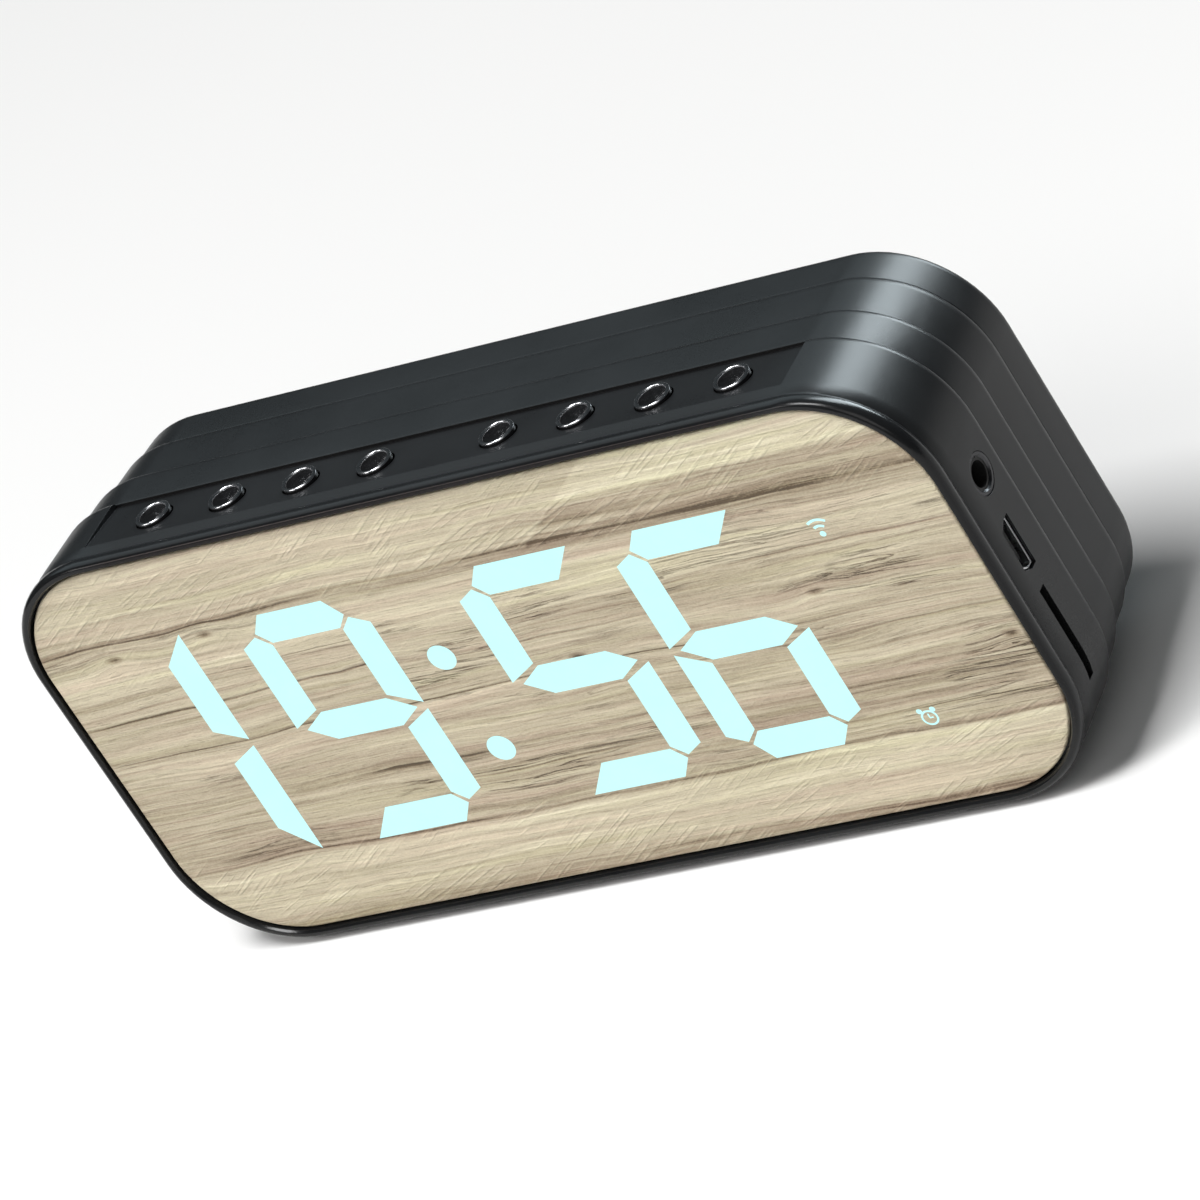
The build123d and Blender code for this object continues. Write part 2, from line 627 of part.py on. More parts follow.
with BuildPart() as board_capacitors:
    with BuildSketch(front_plane(BOARD_BACK)):
        with Locations((-28.0, -10.0), (-4.0, -10.0), (30.0, -13.0), (48.0, -8.0)):
            Circle(2.5)
    extrude(amount=-6.0)
    fillet(board_capacitors.faces().group_by(Axis.Y)[-1].edges(), radius=0.4)
board_capacitors.part.label = "board_capacitors"
export_step(board_capacitors.part, "parts/board_capacitors.step")

CONNECTOR_X = (-20.0, 8.0, 20.0)  # left speaker, battery, right speaker
CONNECTOR_Z = -19.0
CONNECTOR_T = 5.6
with BuildPart() as board_connectors:
    for x in CONNECTOR_X:
        box_between((x - 2.8, x + 2.8), (BOARD_BACK, BOARD_BACK + CONNECTOR_T),
                    (CONNECTOR_Z - 2.2, CONNECTOR_Z + 2.2))
board_connectors.part.label = "board_connectors"
export_step(board_connectors.part, "parts/board_connectors.step")

HEADER_X = 16.2
HEADER_PITCH = 1.27
HEADER_PINS = [HEADER_X + HEADER_PITCH * step for step in (-1.5, -0.5, 0.5, 1.5)]
HEADER_DEPTH = BOARD_BACK + 1.3
with BuildPart() as board_header:
    box_between((HEADER_X - 2.6, HEADER_X + 2.6), (BOARD_BACK, BOARD_BACK + 2.5), (20.6, 23.2))
    with BuildSketch(top_plane(23.2)):
        with Locations(*[(x, HEADER_DEPTH) for x in HEADER_PINS]):
            Rectangle(0.5, 0.5)
    extrude(amount=KEY_BOARD_Z + KEY_BOARD_T + 0.6 - 23.2)
board_header.part.label = "board_header"
export_step(board_header.part, "parts/board_header.step")

with BuildPart() as board_screws:
    with BuildSketch(front_plane(BOARD_BACK)):
        with Locations(*BOARD_POSTS):
            Circle(SMALL_HEAD_R)
    extrude(amount=-SMALL_HEAD_T)
    with BuildSketch(front_plane(BOARD_BACK)):
        with Locations(*BOARD_POSTS):
            Circle(SMALL_SHANK_R)
    extrude(amount=BOARD_T + 1.3)
    with BuildSketch(top_plane(KEY_BOARD_Z)):
        with Locations(*[(x, BUTTON_DEPTH) for x in KEY_POST_X]):
            Circle(SMALL_HEAD_R)
    extrude(amount=-SMALL_HEAD_T)
    with BuildSketch(top_plane(KEY_BOARD_Z)):
        with Locations(*[(x, BUTTON_DEPTH) for x in KEY_POST_X]):
            Circle(SMALL_SHANK_R)
    extrude(amount=SMALL_LENGTH)
board_screws.part.label = "board_screws"
export_step(board_screws.part, "parts/board_screws.step")

# ---- Sockets ----

with BuildPart() as aux_jack:
    box_between(JACK_BLOCK, (BOARD_BACK, JACK_AT[0] + 3.0), (JACK_AT[1] - 3.1, JACK_AT[1] + 3.1))
    with BuildSketch(side_plane(JACK_BLOCK[1])):
        with Locations(JACK_AT):
            Circle(JACK_NOSE_R)
    extrude(amount=JACK_FACE_X - 0.3 - JACK_BLOCK[1])
    with BuildSketch(side_plane(JACK_BORE_END)):
        with Locations(JACK_AT):
            Circle(JACK_BORE_R)
    extrude(amount=JACK_FACE_X - JACK_BORE_END, mode=Mode.SUBTRACT)
aux_jack.part.label = "aux_jack"
export_step(aux_jack.part, "parts/aux_jack.step")

with BuildPart() as aux_jack_ring:
    with BuildSketch(side_plane(JACK_BLOCK[1])):
        with Locations(JACK_AT):
            Circle(JACK_RING_R)
            Circle(JACK_NOSE_R, mode=Mode.SUBTRACT)
    extrude(amount=JACK_FACE_X - JACK_BLOCK[1])
    chamfer(aux_jack_ring.faces().sort_by(Axis.X)[-1].inner_wires()[0].edges(), length=0.25)
aux_jack_ring.part.label = "aux_jack_ring"
export_step(aux_jack_ring.part, "parts/aux_jack_ring.step")

with BuildPart() as usb_shell:
    with BuildSketch(side_plane(USB_X[0])) as usb_outline:
        with Locations((0, USB_Z)):
            Polygon(*USB_PROFILE, *[(depth, -half) for depth, half in reversed(USB_PROFILE)], align=None)
    extrude(amount=USB_X[1] - USB_X[0])
    with BuildSketch(side_plane(USB_X[0] + USB_WALL)):
        add(usb_outline.sketch_local)
        offset(amount=-USB_WALL)
    extrude(amount=USB_X[1] - USB_X[0], mode=Mode.SUBTRACT)
usb_shell.part.label = "usb_shell"
export_step(usb_shell.part, "parts/usb_shell.step")

with BuildPart() as usb_tongue:
    box_between((USB_X[0] + USB_WALL, USB_X[1] - 0.7), (6.6, 7.2), (USB_Z - 2.4, USB_Z + 2.4))
    box_between((USB_X[0] + USB_WALL, USB_X[0] + 1.5), (5.9, 7.6), (USB_Z - 2.8, USB_Z + 2.8))
usb_tongue.part.label = "usb_tongue"
export_step(usb_tongue.part, "parts/usb_tongue.step")

with BuildPart() as card_socket:
    box_between(CARD_X, (BOARD_BACK, BOARD_BACK + CARD_T), CARD_Z)
    with BuildSketch(side_plane(CARD_X[0] + 1.5)):
        with Locations((BOARD_BACK + CARD_T / 2, (CARD_Z[0] + CARD_Z[1]) / 2)):
            Rectangle(CARD_T - 2 * CARD_WALL, CARD_Z[1] - CARD_Z[0] - 1.2)
    extrude(amount=CARD_X[1] - CARD_X[0], mode=Mode.SUBTRACT)
card_socket.part.label = "card_socket"
export_step(card_socket.part, "parts/card_socket.step")

# ---- Buttons ----

with BuildPart() as button_board:
    box_between((-KEY_BOARD_HALF_W, KEY_BOARD_HALF_W), KEY_BOARD_DEPTH,
                (KEY_BOARD_Z, KEY_BOARD_Z + KEY_BOARD_T))
    with BuildSketch(top_plane(KEY_BOARD_Z)):
        with Locations(*[(x, BUTTON_DEPTH) for x in KEY_POST_X]):
            Circle(1.05)
        with Locations(*[(x, HEADER_DEPTH) for x in HEADER_PINS]):
            Circle(0.45)
    extrude(amount=KEY_BOARD_T, mode=Mode.SUBTRACT)
button_board.part.label = "button_board"
export_step(button_board.part, "parts/button_board.step")

SWITCH_TOP = KEY_BOARD_Z + KEY_BOARD_T + SWITCH_H
with BuildPart() as switch_bodies:
    with BuildSketch(top_plane(KEY_BOARD_Z + KEY_BOARD_T)):
        with Locations(*[(x, BUTTON_DEPTH) for x in BUTTON_X]):
            Rectangle(SWITCH_SIDE, SWITCH_SIDE)
    extrude(amount=SWITCH_H)
    with BuildSketch(top_plane(SWITCH_TOP)):
        with Locations(*[(x, BUTTON_DEPTH) for x in BUTTON_X]):
            Circle(PLUNGER_WELL_R)
    extrude(amount=-PLUNGER_WELL, mode=Mode.SUBTRACT)
switch_bodies.part.label = "switch_bodies"
export_step(switch_bodies.part, "parts/switch_bodies.step")

FLANGE_BOTTOM = FLANGE_TOP - FLANGE_T
RIM_Z = BUTTON_TOP - BUTTON_RIM_R
DISH_R = BUTTON_R - 2 * BUTTON_RIM_R
DISH_BOTTOM = BUTTON_TOP - BUTTON_DISH
DISH_FLAT_R = 0.5
for number, x in enumerate(sorted(BUTTON_X), start=1):
    key_origin = (x, PANEL_Y + BUTTON_DEPTH, MID_Z)
    with BuildPart() as button:
        with BuildSketch(Plane(origin=key_origin, x_dir=(1, 0, 0), z_dir=(0, -1, 0))):
            with BuildLine():
                Polyline((DISH_FLAT_R, DISH_BOTTOM), (0, DISH_BOTTOM), (0, FLANGE_BOTTOM),
                         (FLANGE_R, FLANGE_BOTTOM), (FLANGE_R, FLANGE_TOP), (BUTTON_R, FLANGE_TOP),
                         (BUTTON_R, RIM_Z))
                ThreePointArc((BUTTON_R, RIM_Z), (BUTTON_R - BUTTON_RIM_R, BUTTON_TOP), (DISH_R, RIM_Z))
                # the dish curves up to the rim from its level middle
                TangentArc((DISH_FLAT_R, DISH_BOTTOM), (DISH_R, RIM_Z), tangent=(1, 0))
            make_face()
        revolve(axis=Axis(key_origin, (0, 0, 1)))
    button.part.label = f"button_{number}"
    export_step(button.part, f"parts/button_{number}.step")

    with BuildPart() as plunger:
        with BuildSketch(top_plane(SWITCH_TOP - PLUNGER_DROP)):
            with Locations((x, BUTTON_DEPTH)):
                Circle(PLUNGER_R)
        extrude(amount=FLANGE_BOTTOM - SWITCH_TOP + PLUNGER_DROP)
    plunger.part.label = f"switch_plunger_{number}"
    export_step(plunger.part, f"parts/switch_plunger_{number}.step")

# ---- Speakers ----

for side, x in (("left", -SPEAKER_X), ("right", SPEAKER_X)):
    axis_origin = (x, PANEL_Y, MID_Z)
    section = Plane(origin=axis_origin, x_dir=(1, 0, 0), z_dir=(0, 0, 1))
    speaker_axis = Axis(axis_origin, (0, 1, 0))

    with BuildPart() as frame:
        with BuildSketch(section):
            Polygon((0, FRAME_FRONT), (FRAME_SMALL_R, FRAME_FRONT),
                    (FRAME_OPENING_R + FRAME_WALL, FRAME_STEP),
                    (SPEAKER_R, FRAME_STEP), (SPEAKER_R, FLANGE_BACK), (FRAME_OPENING_R, FLANGE_BACK),
                    (FRAME_OPENING_R, FRAME_STEP), (FRAME_OPENING_R - FRAME_WALL, FRAME_STEP),
                    (FRAME_SMALL_R - FRAME_WALL, FRAME_FRONT + FRAME_WALL),
                    (0, FRAME_FRONT + FRAME_WALL), align=None)
        revolve(axis=speaker_axis)
        # windows in the cone-shaped wall
        with BuildSketch(front_plane(FRAME_FRONT + FRAME_WALL + 0.4)):
            with Locations((x, 0)):
                with PolarLocations(14.2, 4, start_angle=45):
                    Rectangle(4.4, 8.0)
        extrude(amount=-(FRAME_STEP - FRAME_FRONT - FRAME_WALL - 0.8), mode=Mode.SUBTRACT)
    frame.part.label = f"speaker_frame_{side}"
    export_step(frame.part, f"parts/speaker_frame_{side}.step")

    with BuildPart() as magnet:
        with BuildSketch(front_plane(MAGNET_FRONT)):
            with Locations((x, 0)):
                Circle(MAGNET_R)
        extrude(amount=-(FRAME_FRONT - MAGNET_FRONT))
        fillet(magnet.faces().sort_by(Axis.Y)[0].edges(), radius=0.8)
    magnet.part.label = f"speaker_magnet_{side}"
    export_step(magnet.part, f"parts/speaker_magnet_{side}.step")

    with BuildPart() as cone:
        with BuildSketch(section):
            Polygon((0, 28.6), (CONE_SMALL_R, 27.0), (CONE_R, FRAME_STEP), (CONE_R, FRAME_STEP + CONE_T),
                    (CONE_SMALL_R, 27.0 + 1.3 * CONE_T), (4.2, 28.6), (0, 29.3), align=None)
        revolve(axis=speaker_axis)
    cone.part.label = f"speaker_cone_{side}"
    export_step(cone.part, f"parts/speaker_cone_{side}.step")

    # a half-roll between the cone's edge and the frame's ledge
    roll_start = CONE_R + 0.2
    roll_end = FRAME_OPENING_R - FRAME_WALL
    with BuildPart() as surround:
        with BuildSketch(section):
            Polygon((CONE_R, FRAME_STEP), (roll_start, FRAME_STEP), (roll_start + 0.5, FRAME_STEP + 0.6),
                    (roll_end - 0.5, FRAME_STEP + 0.6), (roll_end, FRAME_STEP),
                    (FRAME_OPENING_R, FRAME_STEP),
                    (FRAME_OPENING_R, FRAME_STEP + CONE_T), (roll_end + 0.25, FRAME_STEP + CONE_T),
                    (roll_end - 0.3, FRAME_STEP + 1.1), (roll_start + 0.3, FRAME_STEP + 1.1),
                    (CONE_R, FRAME_STEP + CONE_T), align=None)
        revolve(axis=speaker_axis)
    surround.part.label = f"speaker_surround_{side}"
    export_step(surround.part, f"parts/speaker_surround_{side}.step")

with BuildPart() as speaker_gaskets:
    with BuildSketch(front_plane(FLANGE_BACK)):
        with Locations((-SPEAKER_X, 0), (SPEAKER_X, 0)):
            Circle(SPEAKER_R - 0.1)
            Circle(FRAME_OPENING_R + 0.2, mode=Mode.SUBTRACT)
    extrude(amount=-(COVER_INNER - FLANGE_BACK))
speaker_gaskets.part.label = "speaker_gaskets"
export_step(speaker_gaskets.part, "parts/speaker_gaskets.step")


with BuildPart() as speaker_screws:
    with BuildSketch(front_plane(FRAME_STEP)):
        with Locations(*speaker_post_places()):
            Circle(SPEAKER_SCREW_HEAD_R)
    extrude(amount=SMALL_HEAD_T)
    with BuildSketch(front_plane(FRAME_STEP)):
        with Locations(*speaker_post_places()):
            Circle(SMALL_SHANK_R)
    extrude(amount=-SPEAKER_SCREW_LENGTH)
speaker_screws.part.label = "speaker_screws"
export_step(speaker_screws.part, "parts/speaker_screws.step")

# ---- Battery and leads ----

PAD_FRONT = COVER_INNER - BATTERY_PAD_T
BATTERY_FRONT = PAD_FRONT - BATTERY_SIZE[2]
with BuildPart() as battery:
    half_w = BATTERY_SIZE[0] / 2
    half_h = BATTERY_SIZE[1] / 2
    box_between((-half_w, half_w), (BATTERY_FRONT, PAD_FRONT), (-half_h, half_h))
    fillet(battery.edges().filter_by(Axis.X), radius=1.6)
battery.part.label = "battery"
export_step(battery.part, "parts/battery.step")

with BuildPart() as battery_pad:
    box_between((-18.0, 18.0), (PAD_FRONT, COVER_INNER), (-10.0, 10.0))
battery_pad.part.label = "battery_pad"
export_step(battery_pad.part, "parts/battery_pad.step")

LEAD_R = 0.4
LEAD_SPACING = 1.0
BATTERY_LEAD_X = CONNECTOR_X[1]
BATTERY_LEAD_DEPTH = (BATTERY_FRONT + PAD_FRONT) / 2
CONNECTOR_BACK = BOARD_BACK + CONNECTOR_T


def lead_pair(route, radii, apart):
    """Adds two parallel wires along a route of x, depth and height, spaced along (x, height) by apart."""
    for side in (-0.5, 0.5):
        dx = side * LEAD_SPACING * apart[0]
        dz = side * LEAD_SPACING * apart[1]
        points = [(x + dx, PANEL_Y + depth, MID_Z + height + dz) for x, depth, height in route]
        with BuildLine() as path:
            FilletPolyline(*points, radius=radii)
        with BuildSketch(Plane(origin=path.line @ 0, z_dir=path.line % 0)) as wire:
            Circle(LEAD_R)
        sweep(sections=wire.sketch, path=path.line)


with BuildPart() as battery_lead:
    lead_pair([(BATTERY_LEAD_X, CONNECTOR_BACK, CONNECTOR_Z),
               (BATTERY_LEAD_X, BATTERY_LEAD_DEPTH, CONNECTOR_Z),
               (BATTERY_LEAD_X, BATTERY_LEAD_DEPTH, -BATTERY_SIZE[1] / 2)], 3.2, (1, 0))
battery_lead.part.label = "battery_lead"
export_step(battery_lead.part, "parts/battery_lead.step")

SPEAKER_LEAD_Z = 0.25 - SPEAKER_R
with BuildPart() as speaker_leads:
    for side, start_x in ((-1, CONNECTOR_X[0]), (1, CONNECTOR_X[2])):
        lead_pair([(start_x, CONNECTOR_BACK, CONNECTOR_Z), (start_x, 16.5, CONNECTOR_Z),
                   (side * SPEAKER_X, 23.5, SPEAKER_LEAD_Z),
                   (side * SPEAKER_X, FRAME_STEP, SPEAKER_LEAD_Z)],
                  [3.4, 4.8], (0, 1))
speaker_leads.part.label = "speaker_leads"
export_step(speaker_leads.part, "parts/speaker_leads.step")
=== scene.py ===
import json
from math import radians

import bpy
from mathutils import Matrix, Vector

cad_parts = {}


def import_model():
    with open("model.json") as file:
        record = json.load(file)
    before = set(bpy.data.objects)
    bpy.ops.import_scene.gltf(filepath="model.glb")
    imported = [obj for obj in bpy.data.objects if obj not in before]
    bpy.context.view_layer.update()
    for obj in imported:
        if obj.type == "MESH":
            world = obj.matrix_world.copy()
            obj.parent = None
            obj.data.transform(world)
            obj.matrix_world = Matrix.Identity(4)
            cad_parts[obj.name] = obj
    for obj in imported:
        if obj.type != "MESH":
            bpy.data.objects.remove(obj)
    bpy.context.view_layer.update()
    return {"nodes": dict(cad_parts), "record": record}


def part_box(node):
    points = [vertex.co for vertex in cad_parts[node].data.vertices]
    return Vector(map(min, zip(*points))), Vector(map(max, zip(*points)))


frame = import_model()
nodes = frame["nodes"]

# ---- Places taken from the frame ----

MM = 1000                  # shaders work in mm, the frame is in metres
panel_low, panel_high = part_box("front_panel")
PANEL_FRONT = panel_low.y
PANEL_X = (panel_low.x + panel_high.x) / 2
PANEL_Z = (panel_low.z + panel_high.z) / 2
PANEL_CENTRE = Vector((PANEL_X, PANEL_FRONT, PANEL_Z))
BUTTON_RIM = 0.00027       # metres: height of each button's rounded rim
# In mm: half the length of the buttons' strip, its back edge and lowest height, and the bead's back edge
STRIP_HALF_W = 56.7
STRIP_BACK = PANEL_FRONT * MM + 13.9
STRIP_LOW = PANEL_Z * MM + 31.0
BEAD_BACK = PANEL_FRONT * MM + 1.3
STRIP_SHADE_TINT = (0.66, 0.53, 0.50, 1)  # painted shade: dims and browns the case's gloss in the recess round the buttons
BEAD_GLOSS = -0.14         # added to the case's roughness on the bead
BUTTONS = [f"button_{number}" for number in range(1, 9)]
SHARP_ANGLE = 32           # degrees: edges sharper than this stay sharp
BEVEL_ANGLE = 38           # degrees: edges sharper than this may be rounded


def srgb(red, green, blue):
    """A colour on the 0 to 255 screen scale, as a linear colour with alpha."""
    def linear(value):
        share = value / 255
        return share / 12.92 if share <= 0.04045 else ((share + 0.055) / 1.055) ** 2.4
    return (linear(red), linear(green), linear(blue), 1.0)


# ---- Node helpers ----

def new_material(name):
    """A material with one Principled shader, and its tree and shader."""
    material = bpy.data.materials.new(name)
    material.use_nodes = True
    tree = material.node_tree
    return material, tree, tree.nodes["Principled BSDF"]


def node(tree, kind, inputs=None, **settings):
    """Adds a node; inputs maps a socket's name or number to a value or to another node's output."""
    made = tree.nodes.new(kind)
    for key, value in settings.items():
        setattr(made, key, value)
    for key, value in (inputs or {}).items():
        if isinstance(value, bpy.types.NodeSocket):
            tree.links.new(value, made.inputs[key])
        else:
            made.inputs[key].default_value = value
    return made


def link(tree, output, shader, socket):
    """Joins an output to one of the shader's sockets."""
    tree.links.new(output, shader.inputs[socket])


def place(tree, scale=(MM, MM, MM), shift=(0, 0, 0)):
    """The point on the object, scaled from metres, then shifted."""
    where = node(tree, "ShaderNodeTexCoord").outputs["Object"]
    made = node(tree, "ShaderNodeMapping", {"Vector": where, "Scale": scale, "Location": shift})
    return made.outputs["Vector"]


def noise(tree, vector, scale=1.0, detail=3.0, roughness=0.5, distortion=0.0):
    """A noise value from about 0 to 1."""
    made = node(tree, "ShaderNodeTexNoise", {"Vector": vector, "Scale": scale, "Detail": detail,
                                             "Roughness": roughness, "Distortion": distortion})
    return made.outputs["Fac"]


def calc(tree, operation, first, second=0.0, third=0.0, clamp=False):
    """One step of arithmetic on values."""
    inputs = {0: first, 1: second, 2: third}
    return node(tree, "ShaderNodeMath", inputs, operation=operation, use_clamp=clamp).outputs[0]


def spread(tree, value, low, high, new_low=0.0, new_high=1.0):
    """Maps low..high to new_low..new_high, and holds the ends."""
    made = node(tree, "ShaderNodeMapRange", {"Value": value, "From Min": low, "From Max": high,
                                             "To Min": new_low, "To Max": new_high})
    return made.outputs["Result"]


def ramp(tree, value, stops):
    """A colour from a list of (position, colour)."""
    made = node(tree, "ShaderNodeValToRGB", {"Fac": value})
    points = made.color_ramp.elements
    while len(points) < len(stops):
        points.new(0.5)
    for point, (position, colour) in zip(points, stops):
        point.position = position
        point.color = colour
    return made.outputs["Color"]


def mix(tree, share, first, second, blend="MIX"):
    """Mixes two colours."""
    inputs = {"Factor": share, 6: first, 7: second}  # 6 and 7 are the node's colour inputs
    return node(tree, "ShaderNodeMix", inputs, data_type="RGBA", blend_type=blend).outputs[2]


def bump(tree, height, strength, distance, below=None):
    """A bumped normal, on top of another if one is given."""
    inputs = {"Height": height, "Strength": strength, "Distance": distance}
    if below is not None:
        inputs["Normal"] = below
    return node(tree, "ShaderNodeBump", inputs).outputs["Normal"]


# ---- Materials ----

def moulded_plastic(name, colour, roughness, grain=0.00002, lighter=1.5, specular=0.22):
    """Moulded plastic with a fine spark-eroded texture, faint clouding and slightly rubbed high spots."""
    material, tree, shader = new_material(name)
    point = place(tree)
    cloud = noise(tree, point, scale=0.05, detail=4.0)
    speck = noise(tree, point, scale=5.0, detail=2.0)
    pale = tuple(min(1.0, part * lighter) for part in colour[:3]) + (1.0,)
    tone = mix(tree, spread(tree, cloud, 0.35, 0.7), colour, pale)
    tone = mix(tree, spread(tree, speck, 0.55, 0.75, 0.0, 0.35), tone, pale)
    link(tree, tone, shader, "Base Color")
    patchy = spread(tree, cloud, 0.3, 0.7, -0.03, 0.04)
    rough = calc(tree, "ADD", patchy, spread(tree, speck, 0.3, 0.7, -0.03, 0.03))
    link(tree, calc(tree, "ADD", rough, roughness), shader, "Roughness")
    link(tree, bump(tree, speck, 0.35, grain), shader, "Normal")
    shader.inputs["Specular IOR Level"].default_value = specular
    return material


def case_plastic():
    """The case's satin plastic, with painted shade that dims and browns its gloss in the recess round the
    buttons, and glossier on the bead.
    """
    material = moulded_plastic("case_plastic", (0.0062, 0.0064, 0.0068, 1), 0.31)
    tree = material.node_tree
    shader = tree.nodes["Principled BSDF"]
    axes = node(tree, "ShaderNodeSeparateXYZ", {"Vector": place(tree)})
    # where the buttons' recess is, painted shade dims and browns the gloss through the specular tint
    from_middle = calc(tree, "ABSOLUTE", axes.outputs["X"])
    across = spread(tree, from_middle, STRIP_HALF_W - 6.0, STRIP_HALF_W, 1.0, 0.0)
    ahead = spread(tree, axes.outputs["Y"], STRIP_BACK - 0.1, STRIP_BACK + 0.1, 1.0, 0.0)
    above = spread(tree, axes.outputs["Z"], STRIP_LOW, STRIP_LOW + 0.5)
    share = calc(tree, "MULTIPLY", calc(tree, "MULTIPLY", across, ahead), above)
    tint = mix(tree, share, (1, 1, 1, 1), STRIP_SHADE_TINT)
    link(tree, tint, shader, "Specular Tint")
    gloss = spread(tree, axes.outputs["Y"], BEAD_BACK, BEAD_BACK + 0.6, BEAD_GLOSS, 0.0)
    rough = shader.inputs["Roughness"].links[0].from_socket
    link(tree, calc(tree, "ADD", rough, gloss), shader, "Roughness")
    return material


# The wood's colours from darkest to palest, and the two tints that drift over them
WOOD_COLOURS = [(0.0, (90, 75, 57)), (0.16, (143, 128, 106)), (0.38, (174, 161, 138)),
                (0.56, (192, 181, 157)), (0.76, (209, 199, 173)), (1.0, (230, 222, 196))]
PINKISH = (254, 247, 250)
GREENISH = (252, 254, 247)
STOPS_REACH = 33           # the stops below cover this many mm up and down from the panel's middle
# Height from the panel's middle in mm, and how pale the wood is there, from 0 to 1
WOOD_TONES = [(-32, 0.36), (-30.6, 0.26), (-29, 0.5), (-22, 0.67), (-20.4, 0.65), (-19.7, 0.36),
              (-15, 0.44), (-12, 0.38), (-9, 0.42), (-5, 0.5), (0, 0.48), (4, 0.5), (7, 0.48),
              (9, 0.52), (11.5, 0.46), (13, 0.64), (16, 0.66), (18.5, 0.5), (20.2, 0.26), (20.9, 0.53),
              (27, 0.6), (32, 0.55)]
# Height, and how strong the saw marks are there
SAWN_TONES = [(-32, 0.9), (-19.8, 1.0), (-18.5, 0.25), (-4, 0.15), (12, 0.2), (20, 0.35), (21, 1.0),
              (32, 0.8)]
# Height, and how dark the cracks are there
CRACK_TONES = [(-32, 0.0), (-20, 0.1), (-17, 0.6), (-8, 0.8), (-4, 0.3), (1, 0.4), (3, 0.7), (13, 0.6),
               (17, 0.4), (20, 0.3), (21, 0.0), (32, 0.0)]
# Each knot's x and height from the panel's middle, in mm
KNOTS = [(-60, 17.5), (-44, 18.4), (-22, 9.0), (8, 2.5), (70, -7.8), (47, 4.5)]
KNOT_SHAPE = (0.42, 0, 1.0)  # scales a knot's reach, so that it's longer along the grain
# Heights of the joints between the three boards
BOARD_SEAMS = (20.5, -19.8)
CRACK_FADE = 9             # mm over which a long crack fades in and out
# Long cracks: from x, to x, height, half width, depth of colour
LONG_CRACKS = [(-76, -14, 7.4, 0.3, 0.75), (-12, 30, 6.2, 0.22, 0.45), (-76, 76, 0.2, 0.16, 0.5),
               (18, 76, -2.4, 0.2, 0.45), (-36, -8, -9.4, 0.34, 0.8), (4, 20, -8.6, 0.3, 0.75),
               (32, 76, 11.2, 0.24, 0.5), (34, 60, -10.6, 0.25, 0.4), (-76, -20, 20.0, 0.35, 0.6),
               (-70, -44, -13.6, 0.2, 0.45), (-20, 14, -13.2, 0.2, 0.4), (-58, -30, 12.0, 0.2, 0.4),
               (-38, -28, -29.6, 0.3, 0.6)]


def by_height(tree, height, stops):
    """A value that follows (height in mm, value) stops up the panel."""
    spots = [((at + STOPS_REACH) / (2 * STOPS_REACH), (value, value, value, 1)) for at, value in stops]
    colour = ramp(tree, spread(tree, height, -STOPS_REACH, STOPS_REACH), spots)
    return node(tree, "ShaderNodeSeparateColor", {"Color": colour}).outputs["Red"]


def saw_marks(tree, point, degrees):
    """Short parallel scratches at a slant, 0 to 1."""
    turn = {"Vector": point, "Axis": (0, 1, 0), "Angle": radians(degrees)}
    slant = node(tree, "ShaderNodeVectorRotate", turn)
    drawn_out = {"Vector": slant.outputs["Vector"], "Scale": (0.11, 1.0, 1.7)}
    along = node(tree, "ShaderNodeMapping", drawn_out).outputs["Vector"]
    return spread(tree, noise(tree, along, detail=1.0, roughness=0.5), 0.48, 0.68)


